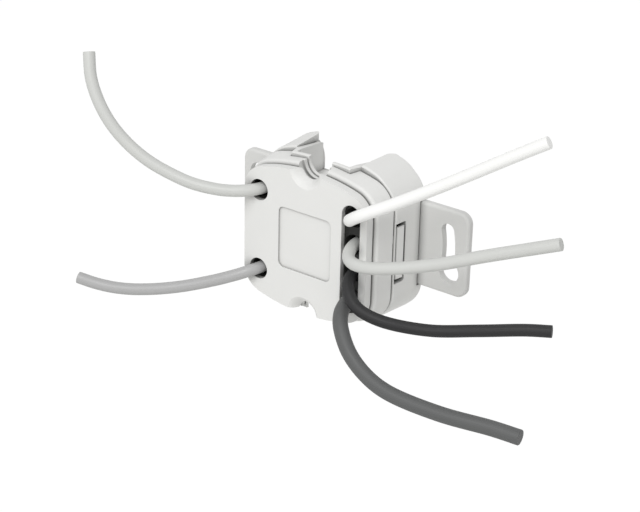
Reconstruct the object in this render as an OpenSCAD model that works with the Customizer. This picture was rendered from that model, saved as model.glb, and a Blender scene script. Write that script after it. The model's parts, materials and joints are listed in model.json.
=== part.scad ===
// Flush-mounted switch interface: a snapped plastic housing on a mounting plate
// with two keyhole ears, for a round wall box with screws 60 mm apart.
// Two supply wires and four input wires come out of the front face.
// X runs along the ears, Y from the wired face to the plate, Z up.
// The origin is the centre of the plate's flat back face.

/* [Housing outline] */
// Centre of the corner arcs from the middle, across
corner_x = 12.4; // [11.5:0.1:13.5]
// Centre of the corner arcs from the middle, up
corner_z = 10.6; // [10:0.1:12]
// How far the crowned top's arc centre lies past the middle
crown_drop = 33.8; // [28:0.2:45]
// Corner radius of the front cover, which sets its half width
cover_r = 6.8; // [6.4:0.1:7.4]
// Step from the front cover out to the front shell
shell_step = 1.2; // [0.6:0.1:1.3]
// Step from the front shell out to the rear housing
housing_step = 0.8; // [0.5:0.1:1]

/* [Depths] */
// Front face to the back face of the plate
total_depth = 21.3; // [20.5:0.1:24]
// Depth of the front cover
cover_depth = 3; // [2.6:0.1:3.4]
// Front face to the seam between front shell and rear housing
seam_depth = 9.4; // [9:0.1:9.8]
// Thickness of the front cover's face
cover_wall = 1.4; // [1.2:0.1:1.8]
// Thickness of the front shell's face
shell_face = 1.5; // [1.2:0.1:1.8]
// Wall of the shells all round
wall = 1.5; // [1.2:0.1:1.7]
// Rounding of the front cover's edge
cover_edge = 1; // [0.5:0.1:1.2]
// Rounding of the rear housing's edges
housing_edge = 0.3; // [0.1:0.1:0.5]

/* [Front face] */
// Side of the sunk square field
field_size = 16.4; // [12:0.2:17]
// Depth of the sunk square field
field_depth = 0.35; // [0.2:0.05:0.6]
// Diameter of the two supply wire holes
wire_hole_d = 5.6; // [5.2:0.1:6]
// Supply wire holes from the middle, across
wire_hole_x = 14.5; // [14:0.1:15]
// Supply wire holes from the middle, up and down
wire_hole_z = 10.8; // [10.4:0.1:11.2]
// Width of the slot for the input wires
slot_w = 5.6; // [5.2:0.1:6]
// Length of the slot for the input wires
slot_len = 28.6; // [28:0.2:29]
// Slot's middle line from the middle
slot_x = 14.3; // [14:0.1:14.6]
// Spacing of the four input wires
input_pitch = 7.2; // [6.9:0.1:7.4]

// Radius of the pegs that fix the cover to the shell
cover_peg_r = 0.9; // [0.7:0.1:1.1]
// Cover pegs from the middle, across
cover_peg_x = 7; // [6.5:0.1:7.5]
// Cover pegs from the middle, up and down
cover_peg_z = 12.6; // [12:0.1:13]

/* [Cable channels] */
// Radius of the channel in the front cover
cover_channel_r = 3; // [2.6:0.1:3.4]
// Radius of its flared mouth
cover_flare_r = 4.3; // [4:0.1:4.8]
// Depth of the flare
flare_depth = 1.2; // [0.8:0.1:1.4]
// Channel axis in the front cover from the middle
cover_channel_z = 19.6; // [19.4:0.1:20]
// Radius of the channel in the front shell
shell_channel_r = 4.5; // [4:0.1:4.9]
// Radius of the channel in the rear housing's rim
rim_channel_r = 3.6; // [3.2:0.1:4.2]
// Channel axis in the front shell and the rim from the middle
channel_z = 20; // [19.8:0.1:20.4]

/* [Rear housing] */
// How far the lobes' upper arcs lie inwards from the corner arcs' centres
lobe_in = 1.5; // [1:0.1:2]
// How far the lobes' upper arcs lie above the corner arcs' centres
lobe_up = 0.8; // [0.4:0.1:1.2]
// Radius of the lobes' upper arcs over the housing's corner radius
lobe_grow = 0.4; // [0.2:0.1:0.6]
// Front face to the front of the tongue between the lobes
tongue_depth = 6.1; // [5.6:0.1:6.6]
// Half width of the tongue at its front
tongue_x = 9.1; // [8.8:0.1:9.4]
// How much wider the tongue is at the seam, on each side
tongue_grow = 1; // [0.6:0.1:1.3]
// Radius of the tongue's crowned top
tongue_crown = 110; // [90:1:140]
// Thickness of the rim at the tongue's front
rim_t = 1; // [0.8:0.1:1.4]
// Half width of the open recess at its front
recess_x = 8.2; // [7.8:0.1:8.3]
// How much wider the recess is at the back, on each side
recess_draft = 1.4; // [1:0.1:1.5]
// Bottom of the recess from the middle
recess_z = 11.9; // [11.8:0.1:12.6]
// Full depth of the recess walls' level top edge, from the front face
ledge_depth = 11.4; // [10.5:0.1:12.5]
// Height that the top edge has lost where it starts to round off
ledge_drop = 0.5; // [0.3:0.1:0.8]
// How far the lobe skins draw back from the recess walls at the back
skin_taper = 3.3; // [2.6:0.1:3.6]
// Depth of the gap between a recess wall and its lobe skin, below the lobe's top
skin_gap = 2; // [1.6:0.1:2.2]
// Radius of the posts that carry the main board
post_r = 1.8; // [1.4:0.1:2]
// Radius of the pegs on those posts
peg_r = 0.9; // [0.7:0.1:1]
// Posts from the middle, across
post_x = 15; // [14.5:0.1:15.5]
// Posts from the middle, up and down
post_z = 13.2; // [13:0.1:13.6]

/* [Snap latches] */
// Length of the latch windows
window_len = 16; // [14:0.5:18]
// Width of the latch windows, front to back
window_w = 3.8; // [3.4:0.1:4.2]
// Gap before and behind the latch bar
latch_gap = 0.6; // [0.4:0.1:0.8]
// Gap at the latch bar's ends
latch_end_gap = 0.8; // [0.5:0.1:1]
// How far the latch bar stands out of the wall
latch_proud = 0.1; // [0:0.05:0.3]
// Seam to the near edge of the windows
window_start = 0.3; // [0.2:0.1:0.6]
// Width of the necks that carry each latch bar
neck_w = 2; // [1.5:0.1:2.6]
// Necks from the middle, up and down
neck_z = 4; // [3:0.5:5]

/* [Mounting plate] */
// Thickness of the plate
plate_t = 2; // [1.6:0.1:2.2]
// Screw slots' arc to the ears' ends
ear_end = 5.5; // [5:0.1:7]
// Height of the plate
plate_h = 22.8; // [22:0.2:23.2]
// Corner radius of the ears
plate_r = 3; // [2:0.2:4]
// Radius of the arc that the screw slots follow
slot_arc_r = 30.3; // [30:0.1:30.6]
// Width of the screw slots
screw_slot_w = 3.7; // [3.5:0.1:4.2]
// Height of the narrow end of a slot above the middle
slot_end_z = 5.75; // [5:0.25:6.5]
// Radius of the round hole that lets a screw head in
head_hole_r = 2.85; // [2.6:0.05:3]
// Round hole's centre from the middle, across
head_hole_x = 30.6; // [30.4:0.1:30.8]
// Round hole's centre from the middle, down
head_hole_z = 5.2; // [4.6:0.1:5.4]
// Radius of the stakes that hold the plate
stake_r = 1.2; // [1:0.1:1.4]
// Radius of the stakes' flattened heads
stake_head_r = 2; // [1.8:0.1:2.3]
// Thickness of the stakes' heads
stake_head_t = 0.6; // [0.4:0.1:0.7]
// Stakes from the middle, across
stake_x = 13; // [11:0.5:15]
// Stakes from the middle, up and down
stake_z = 7; // [6:0.5:8]

/* [Circuit board] */
// Front face to the board's front side
board_depth = 11; // [10.9:0.1:11.3]
// Thickness of the main board
board_t = 1.6; // [1:0.2:1.6]
// Gap between the board and the walls
board_gap = 0.4; // [0.3:0.1:0.6]
// Radio board's width
radio_w = 18; // [17:0.5:20]
// Radio board's height
radio_h = 17; // [15:0.5:19]
// Thickness of the radio board
radio_t = 0.8; // [0.6:0.1:1]
// Space between radio board and main board
radio_lift = 2; // [1.7:0.1:2.2]
// Side of the shield over the processor
shield_w = 10; // [9:0.5:10.5]
// Height of the shield over the radio board
shield_h = 1.8; // [1.6:0.1:2]
// Wall of the shield
shield_t = 0.3; // [0.2:0.05:0.4]
// Side of the processor chip
chip_w = 6; // [5:0.5:7]
// Height of the processor chip
chip_h = 0.9; // [0.7:0.1:1.1]
// Length of the aerial strip
aerial_len = 14; // [11:0.5:16]
// Height of the aerial strip over the radio board
aerial_lift = 2.6; // [2:0.1:3]
// Thickness of the aerial strip
aerial_t = 0.4; // [0.3:0.05:0.5]
// Pitch of the header pins
pin_pitch = 2.54; // [2:0.01:2.54]
// Side of a header pin
pin_side = 0.64; // [0.5:0.01:0.7]
// Pins in each header
pin_count = 4; // [3:1:5]

/* [Terminals] */
// Width of a terminal, across
terminal_w = 5.8; // [5.4:0.1:5.9]
// Height of one pole
pole_h = 6.8; // [6.4:0.1:6.9]
// Radius of a terminal's wire entry
entry_r = 2.1; // [2:0.05:2.3]
// Depth of the wire entry behind the front shell's face
entry_depth = 1.5; // [1.3:0.1:1.8]
// Radius of the funnel before a wire entry
funnel_r = 2.6; // [2.4:0.1:2.7]
// Depth of that funnel
funnel_depth = 2; // [1.2:0.1:2.4]
// Gap between the terminals and their openings in the front shell
opening_gap = 0.3; // [0.2:0.1:0.5]
// Width and height of the clamping chamber
chamber = 4.4; // [4.2:0.1:4.6]
// Thickness of the current bars
bar_t = 0.8; // [0.6:0.05:1]
// Thickness of the clamp springs' strip
spring_t = 0.3; // [0.25:0.05:0.4]
// Width of the bars and the springs
strip_w = 3.2; // [2.6:0.1:3.6]
// Width of the current bars' solder tails
tail_w = 1.2; // [1:0.1:1.6]
// How far tails and pins stand out of a board
tail_out = 0.8; // [0.4:0.1:0.9]

/* [Wires] */
// Outer diameter of the two supply wires and three of the inputs
wire_d = 3.1; // [2.8:0.1:3.3]
// Outer diameter of the common input wire
common_wire_d = 3.8; // [3.4:0.1:3.9]
// Diameter of the bare conductor in the clamps
conductor_d = 1.5; // [1.3:0.1:1.8]
// Space between the conductors' ends and the main board
conductor_clear = 1; // [0.6:0.1:1.4]

/* [Components] */
// Side of the transformer's square core
core_side = 9; // [8.6:0.2:9.4]
// Space between the transformer and the back wall
core_clear = 0.5; // [0.4:0.1:0.8]
// Height that bobbin and winding add on each side of the core
winding_t = 1.2; // [1.1:0.1:1.3]
// Outer leg width of the transformer's core
core_leg = 1.6; // [1.4:0.1:1.8]
// Middle leg width of the transformer's core
core_mid = 2.4; // [2:0.1:2.6]
// Wall of the transformer's bobbin
bobbin_t = 0.35; // [0.3:0.05:0.45]
// Space between the two round capacitors and the back wall
cap_clear = 0.8; // [0.4:0.1:1.2]
// Length of the smoothing capacitor
cap_len = 11; // [8:0.5:12]
// Length of the output capacitor
output_cap_len = 7; // [6:0.5:8]
// Length of the film capacitor
film_len = 10; // [8:0.5:11]
// Thickness of the film capacitor
film_t = 4; // [3:0.1:4.2]
// Space between the film capacitor and the back wall
film_clear = 0.4; // [0.3:0.1:0.8]
// Height of the film capacitor's feet
film_lift = 1; // [0.9:0.1:1.2]
// Height of the varistor's leads
varistor_lift = 1; // [0.9:0.1:1.2]
// Space between the varistor and the back wall
varistor_clear = 0.4; // [0.3:0.1:0.8]
// Thickness of the varistor's disc
varistor_t = 2.4; // [2:0.1:2.6]
// Diameter of the fusible resistor
fuse_d = 2.4; // [2:0.1:2.6]
// Length of the fusible resistor
fuse_len = 6; // [5:0.2:7]
// Diameter of component leads
lead_d = 0.6; // [0.5:0.05:0.7]
// Length of the two chip packages on the back
package_len = 4.9; // [4.4:0.1:5.2]
// Width of the two chip packages on the back
package_w = 3.9; // [3.5:0.1:4.2]
// Height of the two chip packages on the back
package_h = 1.6; // [1.2:0.1:1.8]
// Length of the input resistors
resistor_len = 3.2; // [2.4:0.1:3.4]
// Width of the input resistors
resistor_w = 1.6; // [1.2:0.1:1.8]

// Space between neighbours on the back of the board
part_gap = 0.4; // [0.3:0.1:0.6]
// Space between the parts on the board and the latch tongues
side_clear = 0.4; // [0.3:0.1:0.6]

/* [Hidden] */

$fn = 64;
// Overlap that keeps cuts clean, and the gap between pieces that slide together
eps = 0.01;
gap = 0.1;
// A distance past every piece
far = 40;

front_y = -total_depth;
plate_y = -plate_t;
shell_r = cover_r + shell_step;
housing_r = shell_r + housing_step;
shell_y = front_y + cover_depth;
shell_in_y = shell_y + shell_face;
seam_y = front_y + seam_depth;
board_y = front_y + board_depth;
board_back = board_y + board_t;
radio_back = board_y - radio_lift;
radio_y = radio_back - radio_t;
// The back wall lies before the plate in the middle and reaches back in the lobes
middle_back_y = plate_y - wall;
lobe_back_y = -wall;
middle_back_z = plate_h / 2 + gap + wall;
// The front shell's lip slides inside the rear housing
lip_r = housing_r - wall - gap;
lip_wall = 0.9;
lip_y = board_y - gap;
// Between the lobes the rear housing reaches forward with a tongue round the recess
tongue_y = front_y + tongue_depth;
tongue_end_x = tongue_x + tongue_grow;
rim_y = tongue_y + rim_t;
// Outer edge of the walls round the recess
recess_wall_x = recess_x + recess_draft + wall;
recess_wall_z = recess_z - wall;
lobe_top_z = corner_z + lobe_up + housing_r + lobe_grow;
// The wall under each skin gap reaches this far out and this low
skin_end_x = tongue_end_x + skin_taper + wall;
skin_under = lobe_top_z - skin_gap - wall;
terminal_y = front_y + cover_wall + gap;
terminal_step_y = shell_in_y + gap;
clamp_y = terminal_step_y + entry_depth;
// Insulation ends just inside the terminal's entry
strip_y = clamp_y - 0.3;
supply_zs = [wire_hole_z, -wire_hole_z];
input_zs = [for (i = [0:3]) (1.5 - i) * input_pitch];
header_x = radio_w / 2 - 1.8;
window_y = seam_y + window_start;
latch_y0 = window_y + latch_gap;
latch_y1 = window_y + window_w - latch_gap;
latch_half = window_len / 2 - latch_end_gap;
// Inner side of the lip and of the tongues that carry the latch bars
lip_in_x = half_w(lip_r) - lip_wall;
plate_w = 2 * (slot_arc_r + ear_end);
conductor_len = board_y - conductor_clear - strip_y;

shell_white = [0.88, 0.88, 0.87];
board_green = [0.10, 0.32, 0.18];
terminal_black = [0.12, 0.12, 0.12];
tin = [0.75, 0.75, 0.73];
copper = [0.80, 0.45, 0.25];
chip_black = [0.10, 0.10, 0.11];

// The wires' routes: across, depth from the front face, and up
supply_route_upper = [[-14.5, 5.8, 10.8], [-14.5, 3.4, 10.8], [-15, 1.1, 10.7],
    [-16.2, -1.1, 10.6], [-17.9, -3, 10.5], [-19.8, -4.6, 10.5], [-22.5, -6.7, 10.8],
    [-27.8, -10, 12], [-33.2, -12.7, 14.2], [-38.2, -15.2, 17.1], [-42.9, -17.2, 20.9],
    [-47, -18.7, 25.5], [-50.5, -19.3, 30.7], [-53.3, -19, 36.4], [-55.2, -17.5, 42.3]];
supply_route_lower = [[-14.5, 5.8, -10.8], [-14.5, 3.4, -10.8], [-15, 1.1, -11.1],
    [-16.1, -1.1, -11.5], [-17.7, -2.9, -12.2], [-19.6, -4.4, -13], [-22.3, -6.2, -14.1],
    [-26.2, -8.6, -15.5], [-30.1, -11.1, -16.7], [-34, -13.6, -17.6], [-38.1, -16, -18.3],
    [-42.2, -18.3, -18.7], [-46.5, -20.4, -18.7], [-50.8, -22.3, -18.2], [-55.2, -24, -17.3]];
white_route = [[14.3, 5.8, 10.8], [14.3, 3.4, 10.8], [14.4, 1, 10.8], [15, -1.1, 11.2],
    [16, -2.8, 11.9], [17.5, -4, 13], [19.6, -4.5, 14.4], [22.6, -3.6, 16.1],
    [27, -1.2, 18.4], [34.6, 2.3, 22.8], [43.9, 5.9, 28.5], [53.7, 9, 34.7],
    [60.9, 11.3, 39.1]];
light_route = [[14.3, 5.8, 3.6], [14.3, 3.4, 3.6], [14.5, 1, 3.5], [15.1, -1.1, 3.2],
    [16.1, -3, 2.9], [17.6, -4.6, 2.6], [19.9, -5.7, 2.5], [23.9, -5.6, 2.7],
    [30.5, -3.6, 3.9], [40.5, -0.3, 6.8], [51.3, 2.9, 11], [68.3, 7.4, 17.4]];
black_route = [[14.3, 5.8, -3.6], [14.3, 3.5, -3.6], [14.5, 1.1, -4.1], [15.1, -1.2, -5],
    [16.3, -3, -6.2], [17.9, -4.2, -7.6], [20.8, -4.7, -9.5], [26.2, -3.1, -11.5],
    [36.9, 2, -12.6], [47.7, 7, -11.1], [58.5, 11.7, -9.2], [64, 14.1, -8.7]];
common_route = [[14.3, 5.8, -10.8], [14.3, 3.5, -10.8], [14.4, 1, -10.8], [14.8, -1.5, -11],
    [15.5, -3.8, -11.4], [16.5, -6, -12.1], [18.4, -8.4, -13.7], [23.2, -11.3, -17.8],
    [29.1, -12.6, -21.3], [35.7, -12.8, -23.6], [49.5, -11.1, -25.2], [63.2, -8.5, -25.4],
    [70.1, -7.5, -25.7]];

function half_w(r) = corner_x + r;
function crown_reach() = norm([corner_x, corner_z + crown_drop]);
function half_h(r) = crown_reach() + r - crown_drop;

// Draws its children above and below the middle, or left and right of it.
module up_and_down() {
    children();
    mirror([0, 0, 1]) children();
}
module left_and_right() {
    children();
    mirror([1, 0, 0]) children();
}

// The housing's outline at corner radius r: straight sides, round corners and a
// crowned top and bottom that run into each other without a kink.
module outline(r, corner_fn = 64) {
    big_r = crown_reach() + r;
    tangent_x = corner_x * big_r / crown_reach();
    for (sx = [-1, 1], sz = [-1, 1])
        translate([sx * corner_x, sz * corner_z]) circle(r = r, $fn = corner_fn);
    square([2 * half_w(r), 2 * corner_z], center = true);
    intersection() {
        translate([0, -crown_drop]) circle(r = big_r, $fn = 360);
        translate([0, crown_drop]) circle(r = big_r, $fn = 360);
        square([2 * tangent_x, 4 * half_h(r)], center = true);
    }
}

// A flat shape drawn in X and Z, standing from depth y0 to depth y1.
module slab(y0, y1)
    translate([0, y1, 0]) rotate([90, 0, 0]) linear_extrude(y1 - y0) children();

// A flat shape drawn in X and Y, standing from height z0 to height z1.
module layer(z0, z1)
    translate([0, 0, z0]) linear_extrude(z1 - z0) children();

// The arcs that make the rear housing's lobes fuller, drawn with its outline.
module lobes(r)
    for (sx = [-1, 1], sz = [-1, 1])
        translate([sx * (corner_x - lobe_in), sz * (corner_z + lobe_up)])
            circle(r = r + lobe_grow, $fn = 40);

// A closed body of the housing's outline, rounded by e0 in front and e1 behind.
module rounded_body(r, y0, y1, e0, e1, with_lobes = false) {
    steps = [[0, 1], [0.3, 0.3], [1, 0]];
    thin = 0.02;
    hull() {
        for (s = steps) {
            slab(y0 + s[0] * e0, y0 + s[0] * e0 + thin) {
                outline(r - s[1] * e0, 40);
                if (with_lobes) lobes(r - s[1] * e0);
            }
            slab(y1 - s[0] * e1 - thin, y1 - s[0] * e1) {
                outline(r - s[1] * e1, 40);
                if (with_lobes) lobes(r - s[1] * e1);
            }
        }
    }
}

// A straight round bar along Y.
module bar_y(r, y0, y1, x, z)
    translate([x, y1, z]) rotate([90, 0, 0]) cylinder(r = r, h = y1 - y0);

// A block between two opposite corners.
module block(lo, hi)
    translate(lo) cube(hi - lo);

// A block of size across and up round a centre, from depth y0 to depth y1.
module block_y(w, h, y0, y1, x, z)
    block([x - w / 2, y0, z - h / 2], [x + w / 2, y1, z + h / 2]);

// The long slot for the input wires.
module input_slot(y0, y1, w)
    slab(y0, y1) {
        reach = (slot_len - slot_w) / 2;
        translate([slot_x, 0]) square([w, 2 * reach], center = true);
        for (s = [-1, 1]) translate([slot_x, s * reach]) circle(d = w);
    }

module front_cover() color(shell_white) {
    difference() {
        rounded_body(cover_r, front_y, shell_y, cover_edge, 0);
        // Hollow behind the face, with a wall kept round the cable channels
        difference() {
            slab(front_y + cover_wall, shell_y + eps) outline(cover_r - wall);
            up_and_down() bar_y(cover_channel_r + wall, front_y, far, 0, cover_channel_z);
        }
        slab(front_y - eps, front_y + field_depth) square(field_size, center = true);
        up_and_down() {
            bar_y(wire_hole_d / 2, front_y - eps, far, -wire_hole_x, wire_hole_z);
            bar_y(cover_channel_r, front_y - eps, far, 0, cover_channel_z);
            translate([0, front_y + flare_depth, cover_channel_z]) rotate([90, 0, 0])
                cylinder(r1 = cover_channel_r, r2 = cover_flare_r, h = flare_depth + eps);
        }
        input_slot(front_y - eps, far, slot_w);
    }
    up_and_down() left_and_right()
        bar_y(cover_peg_r, front_y + cover_wall - eps, shell_in_y, cover_peg_x, cover_peg_z);
}

module front_shell() color(shell_white) {
    difference() {
        union() {
            slab(shell_y, seam_y) outline(shell_r);
            slab(seam_y - eps, lip_y) outline(lip_r);
            left_and_right() latch();
        }
        // Inside, with a wall kept round the cable channels
        difference() {
            slab(shell_in_y, seam_y) outline(shell_r - wall);
            up_and_down() bar_y(shell_channel_r + lip_wall, front_y, far, 0, channel_z);
        }
        slab(seam_y - 2 * eps, far) outline(min(lip_r - lip_wall, shell_r - wall));
        up_and_down() {
            // The lip leaves the rear housing's recess and skin gaps free
            block([-skin_end_x - gap, seam_y, recess_wall_z - gap],
                [skin_end_x + gap, 0, far]);
            layer(recess_wall_z - gap, far) tongue_plan(gap);
            bar_y(shell_channel_r, shell_y - eps, far, 0, channel_z);
            left_and_right()
                bar_y(cover_peg_r + gap, shell_y - eps, far, cover_peg_x, cover_peg_z);
        }
        // Openings for the terminals
        for (z = supply_zs)
            block_y(terminal_w + 2 * opening_gap, pole_h + 2 * opening_gap,
                shell_y - eps, terminal_step_y, -wire_hole_x, z);
        block_y(terminal_w + 2 * opening_gap, input_zs[0] - input_zs[3] + pole_h + 2 * opening_gap,
            shell_y - eps, terminal_step_y, slot_x, 0);
        // Windows in the lip round the latch necks and bars
        left_and_right() difference() {
            block([lip_in_x - 1, window_y, -window_len / 2], [far, 0, window_len / 2]);
            latch();
        }
    }
}

// A latch bar that shows in a window of the rear housing, with its tongue and necks.
module latch() {
    block([half_w(lip_r) - eps, latch_y0, -latch_half],
        [half_w(housing_r) + latch_proud, latch_y1, latch_half]);
    block([lip_in_x, latch_y0 - eps, -latch_half], [half_w(lip_r), latch_y1, latch_half]);
    up_and_down()
        block([lip_in_x, seam_y - eps, neck_z - neck_w / 2],
            [half_w(lip_r), latch_y1, neck_z + neck_w / 2]);
}

// The tongue between the lobes, seen from above, up to the seam and past it.
module tongue_plan(grow)
    polygon([[-tongue_x - grow, tongue_y], [tongue_x + grow, tongue_y],
        [tongue_end_x + grow, seam_y], [tongue_end_x + grow, seam_y + 1],
        [-tongue_end_x - grow, seam_y + 1], [-tongue_end_x - grow, seam_y]]);

// A flat shape drawn in Y and Z, standing from x0 to x1 across.
module sheet(x0, x1)
    translate([x0, 0, 0]) rotate([90, 0, 90]) linear_extrude(x1 - x0) children();

// The space above the middle, open to the top and the back.
module recess() {
    layer(recess_z, far)
        polygon([[-recess_x, rim_y], [recess_x, rim_y],
            [recess_x + recess_draft, 1], [-recess_x - recess_draft, 1]]);
    // The recess walls end before the plate, with a rounded upper corner
    end_y = plate_y - gap;
    ledge_z = lobe_top_z - ledge_drop;
    sheet(-tongue_end_x - 0.5, tongue_end_x + 0.5)
        polygon([[front_y + ledge_depth, lobe_top_z + 0.2], [end_y - 2.8, ledge_z],
            [end_y - 0.9, ledge_z - 0.6], [end_y, ledge_z - 1.7],
            [end_y, plate_h / 2 - 1], [1, plate_h / 2 - 1], [1, far],
            [front_y + ledge_depth, far]]);
    // The lobe skins draw back from the walls towards the back and leave a gap
    left_and_right() layer(lobe_top_z - skin_gap, far)
        polygon([[tongue_end_x, seam_y + 0.6], [tongue_end_x + skin_taper, 1],
            [tongue_end_x + 0.4, 1]]);
}

// The tongue's full form, which reaches a little into the housing behind the seam.
module tongue()
    intersection() {
        layer(recess_wall_z, far) tongue_plan(0);
        slab(tongue_y, seam_y + 0.5)
            translate([0, half_h(housing_r) - gap - tongue_crown])
                circle(r = tongue_crown, $fn = 360);
    }

module rear_housing() color(shell_white) {
    difference() {
        union() {
            rounded_body(housing_r, seam_y, 0, housing_edge, housing_edge, true);
            up_and_down() tongue();
        }
        difference() {
            union() {
                slab(seam_y - eps, middle_back_y) outline(housing_r - wall);
                up_and_down() intersection() {
                    slab(middle_back_y - eps, lobe_back_y) outline(housing_r - wall);
                    block([-far, -far, middle_back_z], [far, far, far]);
                }
            }
            up_and_down() {
                // Walls round the recess and below the skin gaps
                block([-recess_wall_x, -far, recess_wall_z], [recess_wall_x, 1, far]);
                left_and_right()
                    block([recess_x, -far, skin_under], [skin_end_x, 1, far]);
                left_and_right() {
                    bar_y(post_r, board_back, 0, post_x, post_z);
                    bar_y(peg_r, board_y, 0, post_x, post_z);
                }
            }
        }
        up_and_down() {
            recess();
            bar_y(rim_channel_r, tongue_y - eps, rim_y + eps, 0, channel_z);
        }
        left_and_right()
            block([half_w(lip_r), window_y, -window_len / 2],
                [far, window_y + window_w, window_len / 2]);
        // Pocket for the plate
        block([-far, plate_y, -plate_h / 2 - gap], [far, 1, plate_h / 2 + gap]);
    }
    up_and_down() left_and_right() {
        bar_y(stake_r, plate_y - eps, -stake_head_t, stake_x, stake_z);
        bar_y(stake_head_r, -stake_head_t - eps, -gap, stake_x, stake_z);
    }
}

// The slot that the right ear's screw moves along, in X and Z.
module keyhole() {
    half = screw_slot_w / 2;
    end_a = asin(slot_end_z / slot_arc_r);
    start_a = -asin(head_hole_z / slot_arc_r);
    intersection() {
        difference() {
            circle(r = slot_arc_r + half, $fn = 180);
            circle(r = slot_arc_r - half, $fn = 180);
        }
        polygon([[0, 0], [2 * far * cos(start_a), 2 * far * sin(start_a)],
            [2 * far * cos(end_a), 2 * far * sin(end_a)]]);
    }
    translate([slot_arc_r * cos(end_a), slot_arc_r * sin(end_a)]) circle(r = half);
    translate([head_hole_x, -head_hole_z]) circle(r = head_hole_r);
}

module mounting_plate() color([0.82, 0.82, 0.81]) difference() {
    slab(plate_y, 0) difference() {
        union() {
            square([plate_w - 2 * plate_r, plate_h], center = true);
            square([plate_w, plate_h - 2 * plate_r], center = true);
            for (x = [-1, 1], z = [-1, 1])
                translate([x * (plate_w / 2 - plate_r), z * (plate_h / 2 - plate_r)])
                    circle(r = plate_r);
        }
        keyhole();
        rotate(180) keyhole();
    }
    up_and_down() left_and_right() {
        bar_y(stake_r + gap, plate_y - eps, eps, stake_x, stake_z);
        bar_y(stake_head_r + gap, -stake_head_t - gap, eps, stake_x, stake_z);
    }
}

// The main board reaches into the lobes and leaves the recess free.
module main_board() color(board_green) difference() {
    slab(board_y, board_back) outline(housing_r - wall - board_gap);
    up_and_down() {
        block([-recess_wall_x - board_gap, -far, recess_wall_z - board_gap],
            [recess_wall_x + board_gap, 1, far]);
        block([-skin_end_x - board_gap, -far, skin_under - board_gap],
            [skin_end_x + board_gap, 1, far]);
        left_and_right() bar_y(peg_r + gap, -far, 1, post_x, post_z);
    }
    // Notches for the latch tongues
    left_and_right()
        block([lip_in_x - board_gap, -far, -latch_half - board_gap],
            [far, 1, latch_half + board_gap]);
    for (x = header_pin_xs(), z = header_pin_zs())
        block_y(pin_side + 2 * gap, pin_side + 2 * gap, -far, 1, x, z);
    for (z = supply_zs)
        block_y(bar_t + 2 * gap, tail_w + 2 * gap, -far, 1, -tail_x(wire_hole_x), z);
    for (z = input_zs)
        block_y(bar_t + 2 * gap, tail_w + 2 * gap, -far, 1, tail_x(slot_x), z);
}

function header_pin_xs() = [-header_x, header_x];
function header_pin_zs() = [for (i = [0:pin_count - 1]) (i - (pin_count - 1) / 2) * pin_pitch];
// Middle of a current bar, on the inner side of a conductor at x
function tail_x(x) = x - conductor_d / 2 - gap / 2 - bar_t / 2;

module radio_board() color(board_green) difference() {
    slab(radio_y, radio_back) square([radio_w, radio_h], center = true);
    for (x = header_pin_xs(), z = header_pin_zs())
        block_y(pin_side + 2 * gap, pin_side + 2 * gap, -far, 1, x, z);
}

// Two plastic strips between the boards, each with its row of pins.
module radio_headers() color(chip_black)
    for (x = header_pin_xs()) {
        block_y(pin_pitch, pin_count * pin_pitch, radio_back, board_y, x, 0);
        for (z = header_pin_zs())
            block_y(pin_side, pin_side, radio_y - tail_out, board_back + tail_out, x, z);
    }

module radio_shield() color(tin) difference() {
    block_y(shield_w, shield_w, radio_y - shield_h, radio_y, 0, shield_z());
    block_y(shield_w - 2 * shield_t, shield_w - 2 * shield_t,
        radio_y - shield_h + shield_t, 0, 0, shield_z());
}
function shield_z() = -radio_h / 2 + shield_w / 2 + 0.5;

// A bent strip that stands on the radio board on two legs.
module aerial_strip() color(tin) {
    z = radio_h / 2 - 2;
    block_y(aerial_len, 1.2, radio_y - aerial_lift, radio_y - aerial_lift + aerial_t, 0, z);
    for (x = [-aerial_len / 2 + aerial_t / 2, -aerial_len / 2 + 3])
        block_y(aerial_t, 1.2, radio_y - aerial_lift, radio_y, x, z);
}

module processor_chip() color(chip_black)
    block_y(chip_w, chip_w, radio_y - chip_h, radio_y, 0, shield_z());

// A terminal body with one pole at each height in zs, round wires at x. Its front
// stands in the cover's hollow and follows the hollow's corners.
module terminal(x, zs) color(terminal_black) difference() {
    union() {
        block([x - terminal_w / 2, terminal_step_y, min(zs) - pole_h / 2],
            [x + terminal_w / 2, board_y, max(zs) + pole_h / 2]);
        intersection() {
            block([x - terminal_w / 2, terminal_y, min(zs) - pole_h / 2],
                [x + terminal_w / 2, terminal_step_y + eps, max(zs) + pole_h / 2]);
            slab(terminal_y, terminal_step_y + eps) outline(cover_r - wall - gap);
        }
    }
    for (z = zs) {
        translate([x, terminal_y - eps, z]) rotate([-90, 0, 0])
            cylinder(r1 = funnel_r, r2 = entry_r, h = funnel_depth + eps);
        bar_y(entry_r, terminal_y - eps, clamp_y, x, z);
        block_y(chamber, chamber, clamp_y - eps, board_y + eps, x, z);
    }
}

// The bent strip that presses a conductor against its bar.
module clamp_spring(x, side, z) {
    wall_x = chamber / 2 - gap / 2;
    tip_x = conductor_d / 2 + gap / 2;
    front = clamp_y + gap;
    back = board_y - 2 * gap;
    tip_y = front + 0.6 * (back - front);
    translate([x, 0, z - strip_w / 2]) mirror([side > 0 ? 0 : 1, 0, 0])
        linear_extrude(strip_w)
        polygon([[wall_x, back], [wall_x, front], [wall_x - spring_t, front],
            [tip_x, tip_y], [tip_x + spring_t, tip_y + spring_t / 2],
            [wall_x - spring_t, front + 4 * spring_t], [wall_x - spring_t, back]]);
}

// A current bar beside a conductor, with its tail through the main board.
module current_bar(x, side, z) {
    bar_x = side * tail_x(side * x);
    block_y(bar_t, strip_w, clamp_y + gap, board_y, bar_x, z);
    block_y(bar_t, tail_w, board_y - eps, board_back + tail_out, bar_x, z);
}

module conductor(x, z)
    bar_y(conductor_d / 2, strip_y, strip_y + conductor_len, x, z);

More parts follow.
